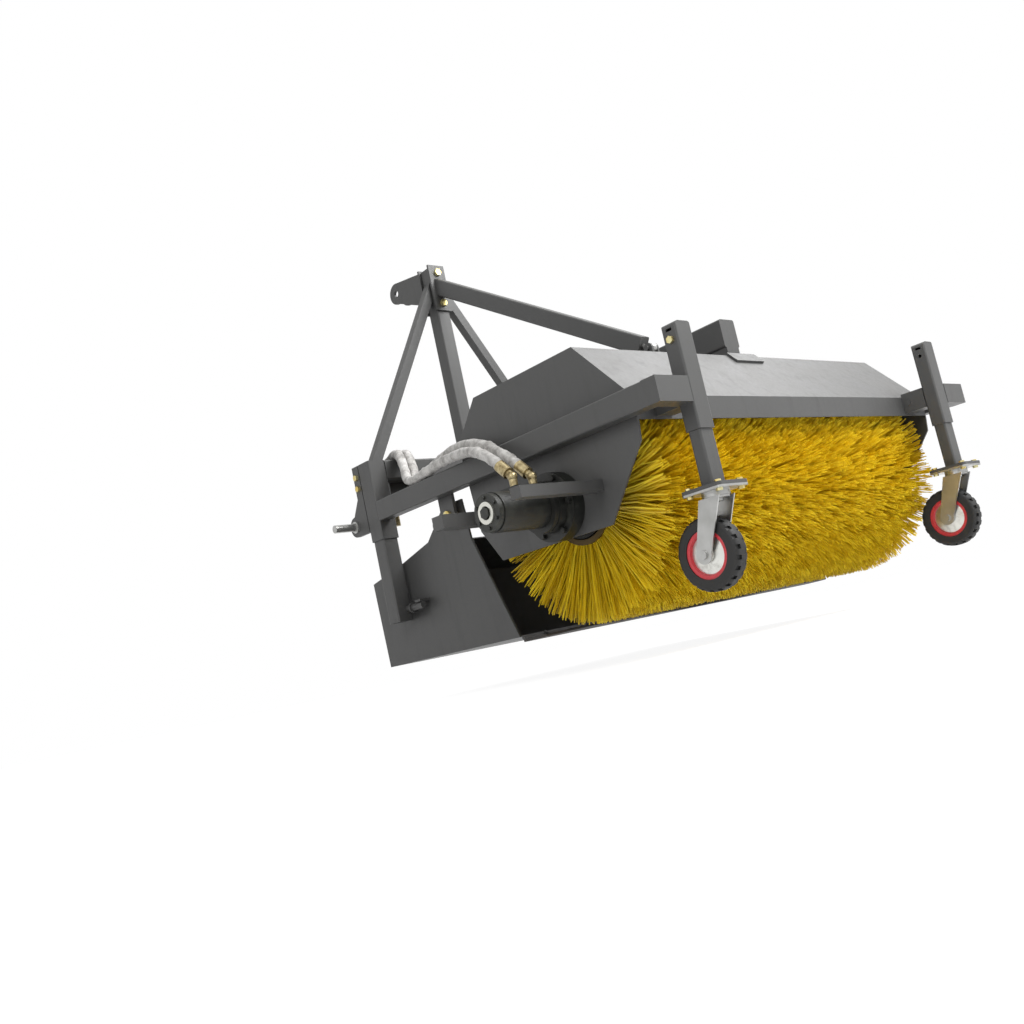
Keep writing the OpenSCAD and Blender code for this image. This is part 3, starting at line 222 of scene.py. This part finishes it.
# Castor plates, forks, axles, the tie bar's eye and the hitch pins are pressed or turned steel in bright
# zinc. The plating is satin, with a faint crystal pattern.
zinc = Finish("zinc_plate", Metallic=0.9)
zinc_crystal = zinc.node("TexVoronoi", {}, {"Vector": zinc.place(), "Scale": 160.0}, "Distance")
zinc_cloud = zinc.ramp(zinc.noise(18, 3, 0.5), (0.35, 0), (0.75, 1))
zinc_colour = zinc.mix(zinc_cloud, shade("b4b4b2"), shade("a0a09d"))
zinc_look = zinc.coat(zinc_colour, 0.28 + zinc_crystal * 0.1, (zinc.noise(120, 2), 0.00003))
dress(zinc_look, "tie_eye", "lower_link_pins", "swivel_plate_left", "swivel_plate_right", "fork_left",
      "fork_right", "axle_left", "axle_right")

# Each castor wheel turns on its axle with a pressed steel rim: a bare zinc disc inside a red painted
# ring. Both are scuffed. The two wheels share one axis line, so one finish fits both.
wheel_axis = at(0, 83, -465)
red_from = 0.0525
rim = Finish("castor_rim")
rim_y = rim.part_of(rim.place(), "Y") - wheel_axis.y
rim_z = rim.part_of(rim.place(), "Z") - wheel_axis.z
rim_red = (rim_y * rim_y + rim_z * rim_z) ** 0.5 > red_from
rim_scuff = rim.ramp(rim.noise(60, 5, 0.65), (0.5, 0), (0.8, 1))
rim_zinc_colour = rim.mix(rim_scuff, shade("cfcfca"), shade("a2a19b"))
rim_red_colour = rim.mix(rim_scuff, shade("c83a42"), shade("a83036"))
rim_colour = rim.mix(rim_red, rim_zinc_colour, rim_red_colour)
rim.plug(rim.shader.inputs["Metallic"], (1 - rim_red) * 0.9)
rim_look = rim.coat(rim_colour, 0.32 + rim_scuff * 0.18, (rim.noise(300, 2), 0.0001))
dress(rim_look, "rim_left", "rim_right")

# Castor tyres are moulded from black rubber and pressed onto the rims. Dust lies on the tread and the walls
# in patches.
tyre = Finish("tyre_rubber")
tyre_dust = tyre.ramp(tyre.noise(34, 6, 0.7), (0.42, 0), (0.78, 1))
tyre_colour = tyre.mix(tyre_dust * 0.4, shade("131313"), shade("3a3835"))
tyre_look = tyre.coat(tyre_colour, 0.6 + tyre_dust * 0.25, (tyre.noise(380, 3), 0.0004))
dress(tyre_look, "tyre_left", "tyre_right")

# The motor, its bolts, the brush's bearing housings and its core are castings, screws and tube. All have
# a thin coat of olive-black paint, worn in places.
casting = Finish("motor_black")
casting_wear = casting.ramp(casting.noise(26, 6, 0.65), (0.5, 0), (0.75, 1))
casting_colour = casting.mix(casting_wear, shade("121310"), shade("2a2b24"))
casting_look = casting.coat(casting_colour, 0.42 + casting_wear * 0.2, (casting.noise(260, 4, 0.6), 0.0006))
dress(casting_look, "motor_bearing", "idler_bearing", "motor_body", "motor_bolts", "brush_shaft")

# The motor's end cap is a casting in the same black paint, bolted to the motor's end. The ring around its
# centre screw stands proud of the cap and is machined bare.
brush_y = 485
brush_z = -228
brush_axis = at(0, brush_y, brush_z)
bare_from = 0.0185
bare_to = 0.0315
bare_before = at(-1075.2, 0, 0).x
cap = Finish("motor_cap_face")
cap_y = cap.part_of(cap.place(), "Y") - brush_axis.y
cap_z = cap.part_of(cap.place(), "Z") - brush_axis.z
cap_radius = (cap_y * cap_y + cap_z * cap_z) ** 0.5
cap_bare = (cap.part_of(cap.place(), "X") < bare_before) * (cap_radius > bare_from) * (cap_radius < bare_to)
cap_wear = cap.ramp(cap.noise(40, 5, 0.6), (0.45, 0), (0.75, 1))
cap_paint_colour = cap.mix(cap_wear, shade("191a16"), shade("30312a"))
cap_colour = cap.mix(cap_bare, cap_paint_colour, shade("d5d4cc"))
cap.plug(cap.shader.inputs["Metallic"], cap_bare * 0.8)
cap_look = cap.coat(cap_colour, 0.45 - cap_bare * 0.15, (cap.noise(260, 4), 0.0005))
dress(cap_look, "motor_cap")

# Hose ferrules, elbows and couplers are turned steel, screwed into the motor or crimped onto the hoses.
# Their dull yellow plating is stained with oil.
ferrule = Finish("fitting_brass", Metallic=0.75)
ferrule_stain = ferrule.ramp(ferrule.noise(60, 5, 0.6), (0.4, 0), (0.7, 1))
ferrule_colour = ferrule.mix(ferrule_stain, shade("b8a981"), shade("6b5b3b"))
ferrule_look = ferrule.coat(ferrule_colour, 0.34 + ferrule_stain * 0.2, (ferrule.noise(400, 2), 0.0001))
dress(ferrule_look, "hose_fittings", "couplers")

# Two hydraulic hoses in off-white woven sleeves run from the motor over the left rail and the front beam
# to couplers that hang in their bracket. Each is one bent tube of fixed length, with folds in its sleeve.
pressure_route = [(-945, 540, -85), (-945, 565, -60), (-940, 610, -31), (-930, 660, -10),
                  (-913, 715, 4), (-893, 775, 13), (-873, 840, 20), (-856, 905, 25),
                  (-844, 970, 24), (-835, 1035, 21), (-826, 1095, 17), (-802, 1163, 35),
                  (-768, 1217, 92), (-738, 1271, 149), (-720, 1305, 163), (-710, 1340, 168),
                  (-702, 1375, 163), (-698, 1407, 150), (-696, 1436, 127), (-695, 1457, 99),
                  (-695, 1470, 66), (-695, 1473, 46), (-695, 1473, 32)]
return_route = [(-900, 510, -95), (-900, 535, -70), (-896, 580, -36), (-888, 635, -2),
                (-874, 700, 25), (-855, 770, 43), (-836, 840, 52), (-820, 905, 53),
                (-808, 970, 46), (-799, 1035, 33), (-791, 1095, 19), (-766, 1163, 35),
                (-731, 1217, 92), (-701, 1271, 149), (-683, 1305, 163), (-673, 1340, 168),
                (-665, 1375, 163), (-661, 1407, 150), (-659, 1436, 127), (-658, 1457, 99),
                (-658, 1470, 66), (-658, 1473, 46), (-658, 1473, 32)]
hose_width = 0.032
steps_between_points = 10
fold_height = 0.006
sleeve_folds = bpy.data.textures.new("sleeve_folds", "CLOUDS")
sleeve_folds.noise_type = "HARD_NOISE"
sleeve_folds.noise_scale = 0.028
sleeve_folds.noise_depth = 1

braid_along = 1900
braid_around = 75.4
sleeve = Finish("hose_sleeve", Sheen_Weight=0.3)
sleeve_map = sleeve.node("UVMap", {}, {})
sleeve_along = sleeve.part_of(sleeve_map, "X") * braid_along
sleeve_around = sleeve.part_of(sleeve_map, "Y") * braid_around
braid_one = sleeve.node("Math", {"operation": "SINE"}, {0: sleeve_along + sleeve_around})
braid_two = sleeve.node("Math", {"operation": "SINE"}, {0: sleeve_along - sleeve_around})
braid = braid_one * braid_two * 0.5 + 0.5
sleeve_dirt = sleeve.ramp(sleeve.noise(30, 6, 0.7), (0.4, 0), (0.66, 1))
sleeve_colour = sleeve.mix(sleeve_dirt * 0.85, shade("d6d4d1"), shade("6e6a66"))
sleeve_colour = sleeve.mix(braid * 0.25, sleeve_colour, shade("a9a59d"))
sleeve_rough = 0.78 + sleeve_dirt * 0.12
sleeve_look = sleeve.coat(sleeve_colour, sleeve_rough, (braid, 0.0006), (sleeve.noise(45), 0.0025))


def hose(name, route):
    """A tube along a route, the points of its middle line, and that line's length."""
    bpy.ops.object.select_all(action="DESELECT")
    bpy.ops.curve.primitive_bezier_curve_add()
    tube = bpy.context.object
    tube.name = name
    spline = tube.data.splines[0]
    spline.bezier_points.add(len(route) - 2)
    for knot, place in zip(spline.bezier_points, route):
        knot.co = at(*place)
        knot.handle_left_type = "AUTO"
        knot.handle_right_type = "AUTO"
    spline.resolution_u = steps_between_points
    bpy.context.view_layer.update()
    path = []
    knots = spline.bezier_points
    for a, b in zip(knots[:-1], knots[1:]):
        path += interpolate_bezier(a.co, a.handle_right, b.handle_left, b.co, steps_between_points + 1)[:-1]
    path.append(knots[-1].co.copy())
    tube.data.bevel_depth = hose_width / 2
    tube.data.bevel_resolution = 10
    tube.data.use_fill_caps = True
    bpy.ops.object.convert(target="MESH")
    folds = tube.modifiers.new("folds", "DISPLACE")
    folds.texture = sleeve_folds
    folds.texture_coords = "LOCAL"
    folds.mid_level = 0.35
    folds.strength = fold_height
    bpy.ops.object.modifier_apply(modifier="folds")
    bpy.ops.object.shade_smooth()
    tube.data.materials.append(sleeve_look)
    length = sum((b - a).length for a, b in zip(path[:-1], path[1:]))
    return tube, path, length


for name, route, node in (("hose_pressure_sleeve", pressure_route, "hose_pressure"),
                          ("hose_return_sleeve", return_route, "hose_return")):
    tube, path, length = hose(name, route)
    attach(tube, "frame")
    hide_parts(node)

# The brush is three sections of stiff yellow plastic strands on one core. The strands stand in rings,
# lean and clump, and flare outwards at both ends. A strand is modelled once, as a thin three-sided cone,
# and repeated.
bristle = Finish("bristle")
bristle_tone = bristle.node("Attribute", {"attribute_name": "tone"}, {}, "Fac")
bristle_reach = bristle.node("Attribute", {"attribute_name": "reach"}, {}, "Fac")
# Painted shade: each strand is darkened towards its root, standing in for the shade deep among the strands
# near the core.
bristle_root_shade = bristle.ramp(bristle_reach, (0.0, 1), (0.6, 0)) * 0.18
bristle_colour = bristle.mix(bristle_tone, shade("d0ac05"), shade("ffe732"))
bristle_colour = bristle.mix(bristle_root_shade, bristle_colour, shade("8a6c06"))
bristle_look = bristle.coat(bristle_colour, 0.42 + bristle_tone * 0.15)

bpy.ops.object.select_all(action="DESELECT")
bpy.ops.mesh.primitive_cone_add(vertices=3, radius1=1.0, radius2=0.62, depth=1.0, location=(0, 0, 0.5))
strand = bpy.context.object
bpy.ops.object.mode_set(mode="EDIT")
bpy.ops.mesh.select_all(action="SELECT")
bpy.ops.mesh.bisect(plane_co=(0, 0, 0.5), plane_no=(0, 0, 1))
bpy.ops.mesh.select_all(action="SELECT")
bpy.ops.mesh.quads_convert_to_tris()
bpy.ops.object.mode_set(mode="OBJECT")
strand_points = np.array([strand.matrix_world @ v.co for v in strand.data.vertices])
strand_sides = [p for p in strand.data.polygons if abs(p.normal.z) < 0.9 or p.center.z > 0.5]
strand_faces = np.array([p.vertices[:] for p in strand_sides])
bpy.data.objects.remove(strand)

core_radius = 0.112
tip_radius = 0.3535
tip_limit = 0.7515
strand_half = 0.0027
strand_flatness = 0.35
brush_half = 0.720
section_length = 1.438 / 3
rings_in_section = 11
strands_in_ring = 1100
strands_in_clump = 11
ring_stagger = 0.5
clump_gather = 0.72
clump_middle = 0.42
clump_spread = 0.2
clump_lean_spread = 0.010
turn_spread = 0.012
root_spread = 0.015
tip_spread = 0.009
bow_spread = 0.008
wear_spread = 0.006
tone_low = 0.1
tone_high = 0.75
tone_spread = 0.22
lean_power = 1.2
end_flare = 0.032
flare_power = 1.4


def bristle_section(name, node, start, flare_low, flare_high, seed):
    """One section's strands, which ride on the brush in place of the section's plain tufts."""
    luck = np.random.default_rng(seed)
    clumps = strands_in_ring // strands_in_clump
    clump_pitch = 2 * math.pi / clumps
    z = strand_points[:, 2]
    points = []
    tones = []
    reaches = []
    for ring in range(rings_in_section):
        share = (ring + 0.5) / rings_in_section
        x = start + section_length * share
        sixths = share * 6
        low_flare = flare_low * max(0, 1 - sixths) ** flare_power
        high_flare = flare_high * max(0, sixths - 5) ** flare_power
        spread = high_flare - low_flare
        for clump in range(clumps):
            clump_shift = ring_stagger * (ring % 2) + luck.uniform(-clump_spread, clump_spread)
            clump_angle = clump_pitch * (clump + clump_shift)
            clump_lean = luck.normal(0, clump_lean_spread)
            clump_turn = luck.normal(0, turn_spread)
            clump_tone = luck.uniform(tone_low, tone_high)
            for one in range(strands_in_clump):
                root_angle = clump_angle + clump_pitch * (one / strands_in_clump - clump_middle)
                gathered_angle = clump_angle + clump_gather * (root_angle - clump_angle)
                tip_angle = gathered_angle + clump_turn + luck.normal(0, turn_spread)
                root = x + luck.uniform(-root_spread, root_spread)
                tip = root + clump_lean + spread + luck.normal(0, tip_spread)
                tip = min(max(tip, -tip_limit), tip_limit)
                bow = luck.normal(0, bow_spread)
                reach = tip_radius - abs(luck.normal(0, wear_spread))
                radius = core_radius + z * (reach - core_radius)
                angle = root_angle + z * (tip_angle - root_angle) + bow * np.sin(z * math.pi) / radius
                along = root + z ** lean_power * (tip - root)
                radius = radius + strand_half * strand_points[:, 0] * strand_flatness
                side = angle + strand_half * strand_points[:, 1] / radius
                points.append(np.stack([along + strand_half * strand_points[:, 0], radius * np.cos(side),
                                        radius * np.sin(side)], axis=1))
                tones.append(np.full(len(z), np.clip(clump_tone + luck.normal(0, tone_spread), 0, 1)))
                reaches.append(z)
    first_points = np.arange(len(points)) * len(strand_points)
    faces = (strand_faces[None] + first_points[:, None, None]).reshape(-1, 3)
    mesh = bpy.data.meshes.new(name)
    mesh.from_pydata((np.concatenate(points) + np.array(brush_axis)).tolist(), [], faces.tolist())
    mesh.attributes.new("tone", "FLOAT", "POINT").data.foreach_set("value", np.concatenate(tones))
    mesh.attributes.new("reach", "FLOAT", "POINT").data.foreach_set("value", np.concatenate(reaches))
    mesh.materials.append(bristle_look)
    section = bpy.data.objects.new(name, mesh)
    bpy.context.collection.objects.link(section)
    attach(section, "brush")
    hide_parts(node)


bristle_section("bristles_left", "brush_section_left", -brush_half, end_flare, 0, 11)
bristle_section("bristles_middle", "brush_section_middle", -section_length / 2, 0, 0, 12)
bristle_section("bristles_right", "brush_section_right", brush_half - section_length, 0, end_flare, 13)

# Each section's strands are moulded into plastic rings, which are pressed together on the core. Between
# the strands they are seen as one brown tube.
wafer = Finish("bristle_ring")
wafer_colour = wafer.mix(wafer.noise(20), shade("3b2d08"), shade("5c460c"))
wafer_look = wafer.coat(wafer_colour, 0.6, (wafer.noise(200), 0.0004))
wafer_radius = 0.1195
wafer_wall = 0.016
wafer_length = 0.479
for name, middle in (("rings_left", -480.4), ("rings_middle", 0), ("rings_right", 480.3)):
    bpy.ops.object.select_all(action="DESELECT")
    bpy.ops.mesh.primitive_cylinder_add(vertices=64, radius=wafer_radius, depth=wafer_length,
                                        end_fill_type="NOTHING", location=at(middle, brush_y, brush_z),
                                        rotation=(0, math.pi / 2, 0))
    rings = bpy.context.object
    rings.name = name
    bpy.ops.object.mode_set(mode="EDIT")
    bpy.ops.mesh.select_all(action="SELECT")
    bpy.ops.mesh.subdivide(number_cuts=3)
    bpy.ops.object.mode_set(mode="OBJECT")
    bpy.ops.object.transform_apply(location=True, rotation=True, scale=True)
    solid = rings.modifiers.new("wall", "SOLIDIFY")
    solid.thickness = wafer_wall
    solid.offset = -1
    bpy.ops.object.modifier_apply(modifier="wall")
    bpy.ops.object.shade_smooth_by_angle(angle=0.6)
    rings.data.materials.append(wafer_look)
    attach(rings, "brush")

# The flap is a strip of worn rubber sheet, held under a clamp bar along the bin's edge. It lies bent back
# on the floor, and its free edge is scuffed, uneven and slightly curled.
flap_root = at(0, 791.11, -578.89)
flap_half = 0.770
flap_length = 0.112
flap_thickness = 0.0076
flap_edge_radius = 0.0015
edge_wear = 0.004
edge_curl = 0.003
curl_rate = 5
wave_rates = (3.1, 7.3, 17.0, 41.0)
flap_rubber = Finish("flap_rubber")
flap_smear = flap_rubber.noise(14, 7, 0.7, flap_rubber.stretched((0.6, 3, 3)))
flap_scuff = flap_rubber.ramp(flap_smear, (0.42, 0), (0.72, 1))
flap_colour = flap_rubber.mix(flap_scuff, shade("1d1a17"), shade("4b4238"))
flap_look = flap_rubber.coat(flap_colour, 0.55 + flap_scuff * 0.3, (flap_rubber.noise(120, 4), 0.0006))
bpy.ops.object.select_all(action="DESELECT")
bpy.ops.mesh.primitive_grid_add(x_subdivisions=96, y_subdivisions=12, size=2)
flap = bpy.context.object
flap.name = "flap_sheet"
luck = random.Random(5)
wave_starts = [luck.uniform(0, 2 * math.pi) for _ in wave_rates]
for v in flap.data.vertices:
    across = v.co.x
    down = (v.co.y + 1) / 2
    waves = [math.sin(across * rate + start) for rate, start in zip(wave_rates, wave_starts)]
    reach = flap_length * down - edge_wear * down ** 4 * (1 + sum(waves) / len(waves))
    lift = edge_curl * down ** 2 * (1 + math.sin(across * curl_rate + wave_starts[1]))
    v.co = (flap_root.x + flap_half * across, flap_root.y - reach, flap_root.z + lift)
solid = flap.modifiers.new("sheet", "SOLIDIFY")
solid.thickness = flap_thickness
solid.offset = 0
bpy.ops.object.modifier_apply(modifier="sheet")
bevel = flap.modifiers.new("edges", "BEVEL")
bevel.width = flap_edge_radius
bevel.segments = 2
bevel.angle_limit = 1.0
bpy.ops.object.modifier_apply(modifier="edges")
bpy.ops.object.shade_smooth_by_angle(angle=0.7)
flap.data.materials.append(flap_look)
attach(flap, "flap")
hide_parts("flap")

# The floor is a plain pale sheet that is seen as white, with the machine's faint shadow. The machine was
# photographed lifted, from just under its base, and its flap and castors can reach below that base, so
# the sheet lies lower.
floor_width = 60
floor_drop = 0.125
floor_glow = 1.51
shadow_share = 0.4
white = (1, 1, 1, 1)
bpy.ops.object.select_all(action="DESELECT")
bpy.ops.mesh.primitive_plane_add(size=floor_width, location=(0, 0, -floor_drop))
floor = bpy.context.object
floor.name = "floor"


def seen_by_eye(finish):
    """One for the rays that come from the camera, a gloss or a glass, and zero for the others."""
    eye = finish.node("LightPath", {}, {}, "Is Camera Ray")
    gloss = finish.node("LightPath", {}, {}, "Is Glossy Ray")
    glass = finish.node("LightPath", {}, {}, "Is Transmission Ray")
    return eye + gloss + glass


ground = Finish("floor_white", Roughness=0.9, Base_Color=(0.8, 0.8, 0.8, 1))
ground_lit = Wire(ground, ground.shader.outputs[0])
ground_glow = ground.node("Emission", {}, {"Color": white, "Strength": floor_glow})
ground_white = seen_by_eye(ground) * (1 - shadow_share)
ground_mix = ground.node("MixShader", {}, {0: ground_white, 1: ground_lit, 2: ground_glow})
ground.plug(ground.out.inputs[0], ground_mix)
floor.data.materials.append(ground.material)


# The room is an even, weak light from all sides, as in a white studio. It is seen as white in the picture
# and in what shines.
class Room(Finish):
    """The light of the room, on the nodes of the scene's world."""

    def __init__(self):
        world = bpy.context.scene.world or bpy.data.worlds.new("room")
        bpy.context.scene.world = world
        world.use_nodes = True
        self.tree = world.node_tree
        self.tree.nodes.clear()
        self.out = self.tree.nodes.new("ShaderNodeOutputWorld")


room = Room()
room_light = room.node("Background", {}, {"Color": white, "Strength": 0.3})
room_white = room.node("Background", {}, {"Color": white, "Strength": 1.0})
room_mix = room.node("MixShader", {}, {0: seen_by_eye(room), 1: room_light, 2: room_white})
room.plug(room.out.inputs[0], room_mix)

# Soft studio light: a wide panel above the rear of the machine, one high on the far side whose sheen lies
# on the hood's slope, and a weak one from the motor end.
for name, place, aim, size, power in (("overhead_panel", (1.2, -2.6, 3.8), (0, -0.2, 0.6), 3.5, 360),
                                      ("slope_panel", (2.9, -0.4, 3.6), (0.2, -0.5, 0.75), 2.2, 38),
                                      ("side_panel", (-4.0, -1.0, 2.2), (-0.4, 0, 0.5), 2.5, 45)):
    bpy.ops.object.select_all(action="DESELECT")
    bpy.ops.object.light_add(type="AREA", location=place)
    panel = bpy.context.object
    panel.name = name
    panel.data.shape = "DISK"
    panel.data.size = size
    panel.data.energy = power
    panel.rotation_euler = (Vector(aim) - Vector(place)).to_track_quat("-Z", "Y").to_euler()

bpy.context.scene.view_settings.view_transform = "Standard"
